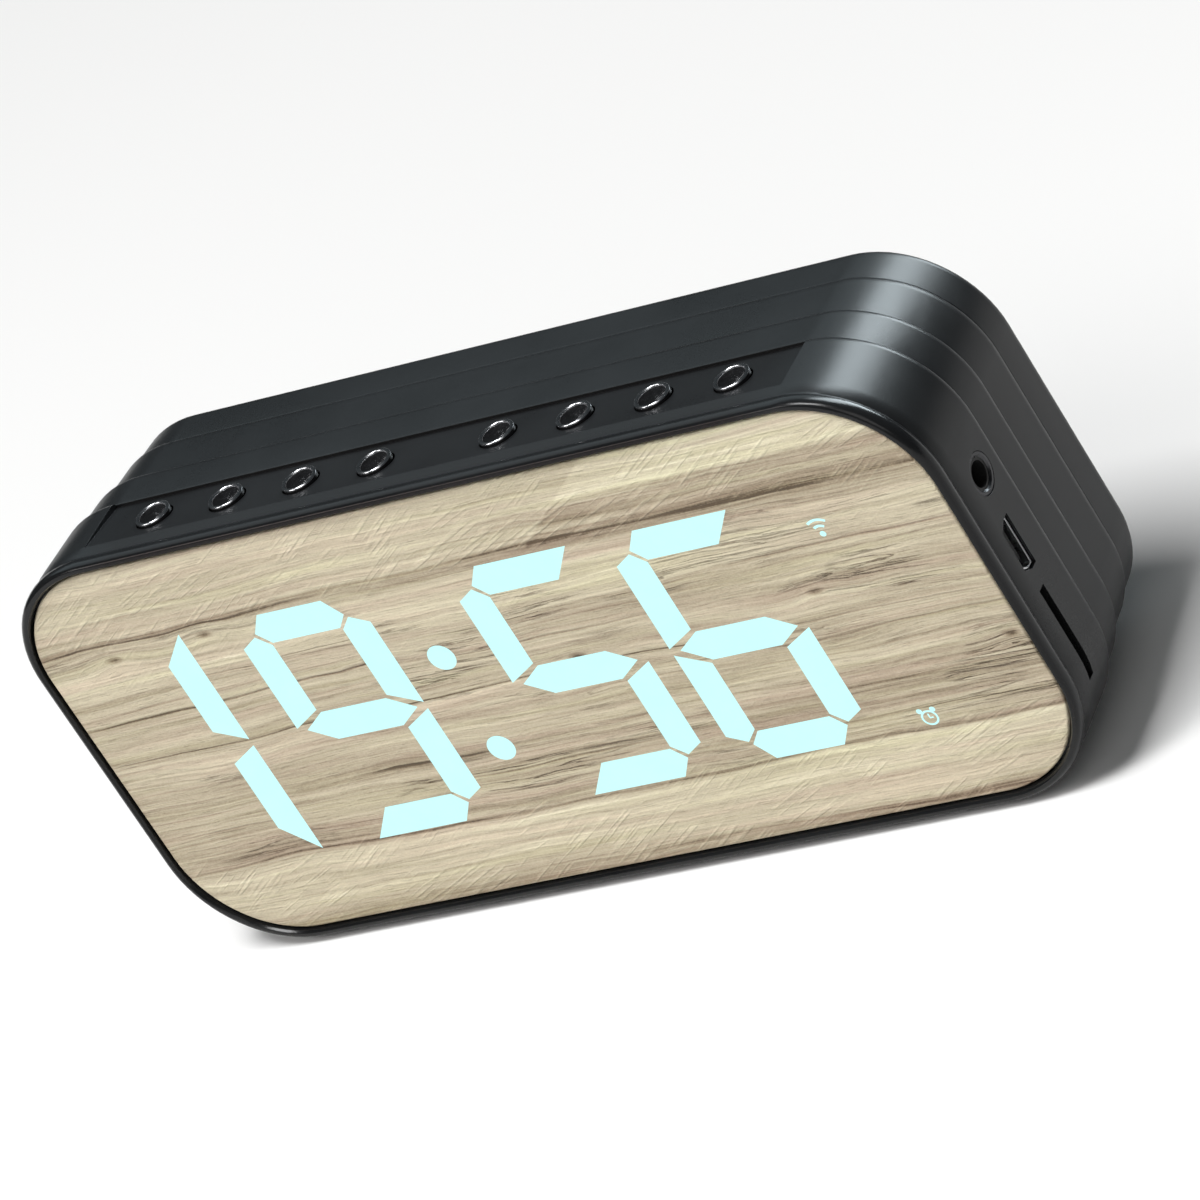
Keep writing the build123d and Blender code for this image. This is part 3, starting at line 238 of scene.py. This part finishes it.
def wood_grain():
    """Pale sawn oak: streaks along x, three boards, dark cracks and knots, and slanting saw marks."""
    material, tree, shader = new_material("wood_grain")
    point = place(tree, shift=(-PANEL_X * MM, 0, -PANEL_Z * MM))
    axes = node(tree, "ShaderNodeSeparateXYZ", {"Vector": point})
    x, z = axes.outputs["X"], axes.outputs["Z"]
    # the grain wanders up and down along the board, and runs round the knots
    slow = noise(tree, place(tree, scale=(18, MM, 60)), detail=2.0)
    quick = noise(tree, place(tree, scale=(90, MM, 240)), detail=3.0)
    height = calc(tree, "MULTIPLY_ADD", spread(tree, slow, 0.3, 0.7, -1.0, 1.0), 0.9, z)
    height = calc(tree, "MULTIPLY_ADD", spread(tree, quick, 0.3, 0.7, -1.0, 1.0), 0.16, height)
    knot_dark = 0.0
    for knot_x, knot_z in KNOTS:
        reach = node(tree, "ShaderNodeVectorMath", {0: point, 1: (knot_x, 0, knot_z)}, operation="SUBTRACT")
        reach = {0: reach.outputs["Vector"], 1: KNOT_SHAPE}
        flat = node(tree, "ShaderNodeVectorMath", reach, operation="MULTIPLY")
        far = node(tree, "ShaderNodeVectorMath", {0: flat.outputs["Vector"]}, operation="LENGTH")
        apart = far.outputs["Value"]
        height = calc(tree, "MULTIPLY_ADD", spread(tree, apart, 0.0, 2.6, 0.8, 0.0), -1.0, height)
        knot_dark = calc(tree, "ADD", spread(tree, apart, 0.15, 0.75, 1.0, 0.0), knot_dark)
    grain = node(tree, "ShaderNodeCombineXYZ", {"X": x, "Y": 0.0, "Z": height}).outputs["Vector"]

    def streaks(along, across, **settings):
        """Noise drawn out along the wandering grain."""
        stretched = node(tree, "ShaderNodeMapping", {"Vector": grain, "Scale": (along, 1.0, across)})
        return noise(tree, stretched.outputs["Vector"], **settings)

    broad = streaks(0.013, 0.75, detail=5.0, roughness=0.66)
    medium = streaks(0.03, 1.8, detail=4.0, roughness=0.6)
    fine = streaks(0.16, 6.5, detail=2.0)
    pores = streaks(0.3, 8.0, detail=1.0)
    speck = noise(tree, point, scale=3.2, detail=2.0)
    tone = by_height(tree, height, WOOD_TONES)
    # a slanting joint near the middle of the top board, paler above and darker below to its right
    joint = calc(tree, "MULTIPLY_ADD", z, -1.36, calc(tree, "ADD", x, 17.6))
    right_of_joint = calc(tree, "MULTIPLY", spread(tree, joint, -0.3, 0.3), spread(tree, z, 20.4, 20.8))
    tone = calc(tree, "MULTIPLY_ADD", right_of_joint, spread(tree, z, 26.0, 26.8, -0.2, 0.16), tone)
    tone = calc(tree, "ADD", tone, spread(tree, broad, 0.28, 0.72, -0.26, 0.26))
    tone = calc(tree, "ADD", tone, spread(tree, medium, 0.28, 0.72, -0.19, 0.19))
    tone = calc(tree, "ADD", tone, spread(tree, fine, 0.25, 0.75, -0.08, 0.08))
    tone = calc(tree, "ADD", tone, spread(tree, speck, 0.3, 0.7, -0.05, 0.05))
    pore = spread(tree, pores, 0.64, 0.74)
    tone = calc(tree, "MULTIPLY_ADD", pore, -0.09, tone)
    # saw marks at two slants, in patches, strongest on the top and bottom boards
    patch = noise(tree, place(tree, scale=(60, MM, 95)), detail=2.0)
    sawn = calc(tree, "MULTIPLY", saw_marks(tree, point, 31), spread(tree, patch, 0.49, 0.57))
    other = calc(tree, "MULTIPLY", saw_marks(tree, point, 23), spread(tree, patch, 0.47, 0.39))
    sawn = calc(tree, "MULTIPLY", calc(tree, "MAXIMUM", sawn, other), by_height(tree, z, SAWN_TONES))
    tone = calc(tree, "MULTIPLY_ADD", sawn, 0.12, tone)
    # long dark cracks, where the grain folds
    fold = streaks(0.022, 0.6, detail=7.0, roughness=0.64, distortion=0.7)
    crack = spread(tree, calc(tree, "ABSOLUTE", calc(tree, "SUBTRACT", fold, 0.5)), 0.004, 0.017, 1.0, 0.0)
    where = noise(tree, place(tree, scale=(38, MM, 130), shift=(3.1, 0, 7.7)), detail=3.0)
    crack = calc(tree, "MULTIPLY", crack, spread(tree, where, 0.54, 0.63))
    crack = calc(tree, "MULTIPLY", crack, by_height(tree, z, CRACK_TONES))
    for start, stop, level, half, depth in LONG_CRACKS:
        apart = calc(tree, "ABSOLUTE", calc(tree, "SUBTRACT", height, level))
        line = spread(tree, apart, 0.04, half, depth, 0.0)
        line = calc(tree, "MULTIPLY", line, spread(tree, x, start, start + CRACK_FADE))
        line = calc(tree, "MULTIPLY", line, spread(tree, x, stop, stop - CRACK_FADE))
        crack = calc(tree, "MAXIMUM", crack, line)
    seams = 0.0
    for seam in BOARD_SEAMS:
        apart = calc(tree, "ABSOLUTE", calc(tree, "SUBTRACT", height, seam))
        seams = calc(tree, "ADD", spread(tree, apart, 0.05, 0.4, 1.0, 0.0), seams)
    dark = calc(tree, "MAXIMUM", crack, calc(tree, "MULTIPLY", knot_dark, 0.8))
    dark = calc(tree, "MAXIMUM", dark, calc(tree, "MULTIPLY", seams, 0.35))
    tone = calc(tree, "MULTIPLY_ADD", dark, -0.6, tone, clamp=True)
    colour = ramp(tree, tone, [(at, srgb(*shade)) for at, shade in WOOD_COLOURS])
    tint = streaks(0.015, 0.5, detail=3.0)
    for start, stop, shade in (0.5, 0.66, PINKISH), (0.48, 0.34, GREENISH):
        tinted = mix(tree, 1.0, colour, srgb(*shade), "MULTIPLY")
        colour = mix(tree, spread(tree, tint, start, stop), colour, tinted)
    link(tree, colour, shader, "Base Color")
    link(tree, spread(tree, broad, 0.2, 0.8, 0.62, 0.48), shader, "Roughness")
    relief = calc(tree, "MULTIPLY_ADD", sawn, 0.75, calc(tree, "MULTIPLY", fine, 0.45))
    relief = calc(tree, "MULTIPLY_ADD", medium, 1.1, relief)
    relief = calc(tree, "MULTIPLY_ADD", dark, -0.9, relief)
    relief = calc(tree, "MULTIPLY_ADD", pore, -0.4, relief)
    relief = calc(tree, "MULTIPLY_ADD", speck, 0.18, relief)
    link(tree, bump(tree, relief, 0.75, 0.0003), shader, "Normal")
    shader.inputs["Specular IOR Level"].default_value = 0.3
    return material


def button_plastic(rim_height):
    """Glossy black plastic, with a bright-cut rim above a height in metres."""
    material, tree, shader = new_material("button_plastic")
    point = place(tree)
    height = node(tree, "ShaderNodeSeparateXYZ", {"Vector": point}).outputs["Z"]
    rim = spread(tree, height, rim_height * MM - 0.02, rim_height * MM + 0.02)
    cloud = noise(tree, point, scale=1.2, detail=4.0)
    turned = noise(tree, place(tree, scale=(400, 400, 9000)), scale=2.0, detail=2.0)
    black, worn = (0.006, 0.006, 0.0065, 1), (0.010, 0.010, 0.011, 1)
    dull, bright = (0.52, 0.53, 0.55, 1), (0.68, 0.69, 0.72, 1)
    body = mix(tree, spread(tree, cloud, 0.35, 0.7), black, worn)
    cut = mix(tree, spread(tree, turned, 0.3, 0.7), dull, bright)
    link(tree, mix(tree, rim, body, cut), shader, "Base Color")
    link(tree, rim, shader, "Metallic")
    link(tree, spread(tree, cloud, 0.3, 0.7, 0.20, 0.28), shader, "Roughness")
    link(tree, bump(tree, cloud, 0.15, 0.00001), shader, "Normal")
    return material


def lit_plastic():
    """Pale cyan light through milky plastic, a little uneven."""
    material, tree, shader = new_material("lit_segment")
    cloud = noise(tree, place(tree), scale=0.25, detail=3.0)
    grain = noise(tree, place(tree), scale=3.0, detail=2.0)
    level = spread(tree, cloud, 0.3, 0.7, 0.93, 1.0)
    level = calc(tree, "MULTIPLY", level, spread(tree, grain, 0.3, 0.7, 0.96, 1.0))
    colour = mix(tree, level, srgb(150, 220, 222), srgb(203, 253, 252))
    link(tree, colour, shader, "Emission Color")
    shader.inputs["Emission Strength"].default_value = 0.93
    shader.inputs["Base Color"].default_value = srgb(60, 90, 92)
    shader.inputs["Roughness"].default_value = 0.45
    link(tree, bump(tree, grain, 0.1, 0.00002), shader, "Normal")
    return material


def metal(name, colour, roughness, brushed=True):
    """Plated or stamped metal with fine scratches, which run one way if it is brushed."""
    material, tree, shader = new_material(name)
    stretch = (300, 300, 9000) if brushed else (2500, 2500, 2500)
    scratch = noise(tree, place(tree, scale=stretch), detail=3.0)
    cloud = noise(tree, place(tree), scale=0.4, detail=3.0)
    dull = tuple(part * 0.72 for part in colour[:3]) + (1.0,)
    link(tree, mix(tree, spread(tree, cloud, 0.35, 0.7), colour, dull), shader, "Base Color")
    shader.inputs["Metallic"].default_value = 1.0
    link(tree, spread(tree, scratch, 0.3, 0.7, roughness - 0.06, roughness + 0.1), shader, "Roughness")
    link(tree, bump(tree, scratch, 0.2, 0.00001), shader, "Normal")
    return material


def rubber(name, colour):
    """Matt rubber or foam with a dusty, pitted skin."""
    material, tree, shader = new_material(name)
    point = place(tree)
    pits = noise(tree, point, scale=2.4, detail=4.0)
    dust = noise(tree, point, scale=0.3, detail=4.0)
    pale = tuple(min(1.0, part * 1.8 + 0.01) for part in colour[:3]) + (1.0,)
    link(tree, mix(tree, spread(tree, dust, 0.45, 0.75, 0.0, 0.6), colour, pale), shader, "Base Color")
    link(tree, spread(tree, pits, 0.3, 0.7, 0.72, 0.92), shader, "Roughness")
    link(tree, bump(tree, pits, 0.4, 0.00005), shader, "Normal")
    return material


def circuit_board(name, colour, trace):
    """Solder mask over faint copper tracks."""
    material, tree, shader = new_material(name)
    inputs = {"Vector": place(tree), "Scale": 0.22}
    cells = node(tree, "ShaderNodeTexVoronoi", inputs, feature="DISTANCE_TO_EDGE")
    track = spread(tree, cells.outputs["Distance"], 0.02, 0.06, 1.0, 0.0)
    link(tree, mix(tree, track, colour, trace), shader, "Base Color")
    link(tree, spread(tree, track, 0.0, 1.0, 0.34, 0.28), shader, "Roughness")
    link(tree, bump(tree, track, 0.3, 0.00003), shader, "Normal")
    return material


def paper_cone(name, colour):
    """Pressed paper pulp with a fibrous surface."""
    material, tree, shader = new_material(name)
    fibre = noise(tree, place(tree), scale=4.0, detail=6.0, roughness=0.7, distortion=1.0)
    pale = tuple(part * 2.2 for part in colour[:3]) + (1.0,)
    link(tree, mix(tree, spread(tree, fibre, 0.4, 0.7), colour, pale), shader, "Base Color")
    shader.inputs["Roughness"].default_value = 0.85
    link(tree, bump(tree, fibre, 0.5, 0.00005), shader, "Normal")
    return material


MATERIALS = {
    "case_plastic": case_plastic(),
    "cover_plastic": moulded_plastic("cover_plastic", (0.010, 0.0105, 0.011, 1), 0.5, grain=0.00004),
    "wood_panel": wood_grain(),
    "lit_segment": lit_plastic(),
    "adhesive": rubber("adhesive", (0.012, 0.012, 0.012, 1)),
    "diffuser_film": moulded_plastic("diffuser_film", (0.75, 0.78, 0.78, 1), 0.5, lighter=1.1),
    "mask_plastic": moulded_plastic("mask_plastic", (0.012, 0.012, 0.012, 1), 0.6),
    "led_chip": moulded_plastic("led_chip", (0.8, 0.74, 0.42, 1), 0.3, lighter=1.1),
    "board": circuit_board("board", (0.004, 0.045, 0.02, 1), (0.012, 0.09, 0.035, 1)),
    "chip": moulded_plastic("chip", (0.012, 0.012, 0.013, 1), 0.55),
    "shield_can": metal("shield_can", (0.55, 0.56, 0.57, 1), 0.3),
    "capacitor": metal("capacitor", (0.5, 0.52, 0.54, 1), 0.35),
    "connector": moulded_plastic("connector", (0.68, 0.62, 0.5, 1), 0.5, lighter=1.1),
    "header": moulded_plastic("header", (0.014, 0.014, 0.014, 1), 0.5),
    "screw_steel": metal("screw_steel", (0.10, 0.10, 0.105, 1), 0.36, brushed=False),
    "jack_plastic": moulded_plastic("jack_plastic", (0.008, 0.008, 0.008, 1), 0.45),
    "jack_ring": metal("jack_ring", (0.06, 0.06, 0.063, 1), 0.3, brushed=False),
    "socket_steel": metal("socket_steel", (0.52, 0.53, 0.54, 1), 0.3),
    "tongue_plastic": moulded_plastic("tongue_plastic", (0.01, 0.01, 0.01, 1), 0.5),
    "button_plastic": button_plastic(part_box("button_1")[1].z - BUTTON_RIM),
    "plunger_plastic": moulded_plastic("plunger_plastic", (0.014, 0.014, 0.014, 1), 0.5),
    "switch_plastic": moulded_plastic("switch_plastic", (0.012, 0.012, 0.012, 1), 0.5),
    "foot_rubber": rubber("foot_rubber", (0.010, 0.010, 0.010, 1)),
    "speaker_steel": metal("speaker_steel", (0.03, 0.03, 0.032, 1), 0.45, brushed=False),
    "magnet_steel": metal("magnet_steel", (0.42, 0.42, 0.44, 1), 0.38, brushed=False),
    "speaker_paper": paper_cone("speaker_paper", (0.012, 0.012, 0.012, 1)),
    "surround_rubber": rubber("surround_rubber", (0.009, 0.009, 0.009, 1)),
    "foam": rubber("foam", (0.02, 0.02, 0.02, 1)),
    "battery_pouch": metal("battery_pouch", (0.6, 0.61, 0.62, 1), 0.32),
    "lead_pvc": rubber("lead_pvc", (0.3, 0.02, 0.015, 1)),
}


# ---- CAD nodes: smooth shading, a hair of rounding on hard edges, and their materials ----

def smoothing_group():
    """Welds a mesh's seams and shades it smooth except across sharp edges."""
    group = bpy.data.node_groups.new("smooth_by_angle", "GeometryNodeTree")
    group.interface.new_socket("Geometry", in_out="INPUT", socket_type="NodeSocketGeometry")
    group.interface.new_socket("Geometry", in_out="OUTPUT", socket_type="NodeSocketGeometry")
    start = group.nodes.new("NodeGroupInput")
    weld = group.nodes.new("GeometryNodeMergeByDistance")
    weld.inputs["Distance"].default_value = 0.000002
    smooth_faces = group.nodes.new("GeometryNodeSetShadeSmooth")
    angle = group.nodes.new("GeometryNodeInputMeshEdgeAngle")
    sharp = group.nodes.new("FunctionNodeCompare")
    sharp.inputs["B"].default_value = radians(SHARP_ANGLE)
    crease = group.nodes.new("GeometryNodeSetShadeSmooth")
    crease.domain = "EDGE"
    crease.inputs["Shade Smooth"].default_value = False
    end = group.nodes.new("NodeGroupOutput")
    links = group.links
    links.new(start.outputs[0], weld.inputs["Geometry"])
    links.new(weld.outputs["Geometry"], smooth_faces.inputs["Geometry"])
    links.new(smooth_faces.outputs["Geometry"], crease.inputs["Geometry"])
    links.new(angle.outputs["Unsigned Angle"], sharp.inputs["A"])
    links.new(sharp.outputs["Result"], crease.inputs["Selection"])
    links.new(crease.outputs["Geometry"], end.inputs[0])
    return group


SMOOTH_BY_ANGLE = smoothing_group()


def smooth(piece, edge_round=0.0):
    """Smooth shading with sharp edges and flat faces kept; hard edges may be rounded a little."""
    piece.modifiers.new("smooth", "NODES").node_group = SMOOTH_BY_ANGLE
    if edge_round:
        bevel = piece.modifiers.new("bevel", "BEVEL")
        bevel.width = edge_round
        bevel.segments = 2
        bevel.limit_method = "ANGLE"
        bevel.angle_limit = radians(BEVEL_ANGLE)
        bevel.use_clamp_overlap = True
    weighted = piece.modifiers.new("weighted", "WEIGHTED_NORMAL")
    weighted.keep_sharp = True
    weighted.weight = 80


# Metres of rounding on the hard edges of these nodes
EDGE_ROUND = {"front_housing": 0.00012, "rear_cover": 0.00012, "usb_shell": 0.00005,
              "cover_screws": 0.0001}
slot_of = {entry["node"]: entry["material_slot"] for entry in frame["record"]["subparts"]}
for name, piece in nodes.items():
    piece.data.materials.clear()
    piece.data.materials.append(MATERIALS[slot_of[name]])
    smooth(piece, EDGE_ROUND.get(name, 0.0))


# ---- Floor, light and camera ----

FLOOR_HALF = 6.0           # metres
# The camera as fitted to the photograph: its lens in mm, its axes, and its place from the panel's
# centre in metres
CAMERA_LENS = 240.9
CAMERA_RIGHT = Vector((0.8060, 0.3422, -0.4830))
CAMERA_UP = Vector((0.1767, 0.6397, 0.7481))
CAMERA_FORWARD = Vector((-0.5649, 0.6883, -0.4551))
CAMERA_PLACE = Vector((0.6020, -0.7135, 0.4821))


def floor():
    """A plain pale floor. Returns it."""
    mesh = bpy.data.meshes.new("floor")
    half = FLOOR_HALF
    corners = [(-half, -half, 0), (half, -half, 0), (half, half, 0), (-half, half, 0)]
    mesh.from_pydata(corners, [], [(0, 1, 2, 3)])
    piece = bpy.data.objects.new("floor", mesh)
    bpy.context.scene.collection.objects.link(piece)
    material, tree, shader = new_material("floor")
    cloud = noise(tree, place(tree, scale=(1, 1, 1)), scale=2.0, detail=2.0)
    tone = ramp(tree, cloud, [(0.3, (0.95, 0.95, 0.945, 1)), (0.7, (0.97, 0.97, 0.965, 1))])
    link(tree, tone, shader, "Base Color")
    shader.inputs["Roughness"].default_value = 0.7
    shader.inputs["Specular IOR Level"].default_value = 0.2
    mesh.materials.append(material)
    return piece


def area_light(name, direction, distance, size, power, colour=(1, 1, 1)):
    """A soft box that faces the panel's centre from a direction."""
    light = bpy.data.lights.new(name, "AREA")
    light.shape = "RECTANGLE"
    light.size, light.size_y = size
    light.energy = power
    light.color = colour
    piece = bpy.data.objects.new(name, light)
    bpy.context.scene.collection.objects.link(piece)
    way = Vector(direction).normalized()
    piece.location = PANEL_CENTRE + way * distance
    piece.rotation_euler = (-way).to_track_quat("-Z", "Y").to_euler()
    return piece


def keep_off(pieces, lights):
    """These lights don't shine on these pieces, so they cast no second shadow on the floor."""
    spared = bpy.data.collections.new("spared")
    for piece in pieces:
        spared.objects.link(piece)
    for light in lights:
        light.light_linking.receiver_collection = spared
    for entry in spared.collection_objects:
        entry.light_linking.link_state = "EXCLUDE"


def world(strength):
    """Even, slightly blue light from all round."""
    made = bpy.data.worlds.new("studio")
    made.use_nodes = True
    background = made.node_tree.nodes["Background"]
    background.inputs["Color"].default_value = (0.82, 0.95, 1.0, 1)
    background.inputs["Strength"].default_value = strength
    bpy.context.scene.world = made


def camera():
    """The camera stands to the clock's front right, above it, and leans to the right."""
    lens = bpy.data.cameras.new("camera")
    lens.lens = CAMERA_LENS
    lens.sensor_width = 36.0
    lens.clip_start = 0.05
    lens.clip_end = 50
    piece = bpy.data.objects.new("camera", lens)
    bpy.context.scene.collection.objects.link(piece)
    turn = Matrix((CAMERA_RIGHT, CAMERA_UP, -CAMERA_FORWARD)).transposed()
    stand = PANEL_CENTRE + CAMERA_PLACE
    piece.matrix_world = Matrix.Translation(stand) @ turn.to_4x4()
    bpy.context.scene.camera = piece


WARM, COOL, COLD = (1.0, 0.98, 0.96), (0.84, 0.95, 1.0), (0.78, 0.94, 1.0)
table_top = floor()
world(0.05)
# name, direction from the panel, distance in metres, size, power in watts, colour
softbox = area_light("back_softbox", (0.16, 0.80, 0.58), 1.2, (0.44, 1.0), 23, COOL)
fill = area_light("back_left_fill", (-0.565, 0.688, 0.80), 1.0, (1.2, 0.5), 1.8, COLD)
area_light("key_left", (-0.55, -0.6, 0.6), 2.0, (0.7, 0.7), 10.8, WARM)
area_light("key_right", (0.45, -0.7, 0.55), 2.0, (1.2, 1.2), 7.5, WARM)
area_light("overhead", (-0.05, -0.36, 1.0), 2.0, (0.75, 0.75), 38)
keep_off([table_top] + [nodes[name] for name in BUTTONS], [softbox, fill])
camera()
bpy.context.scene.view_settings.view_transform = "Standard"
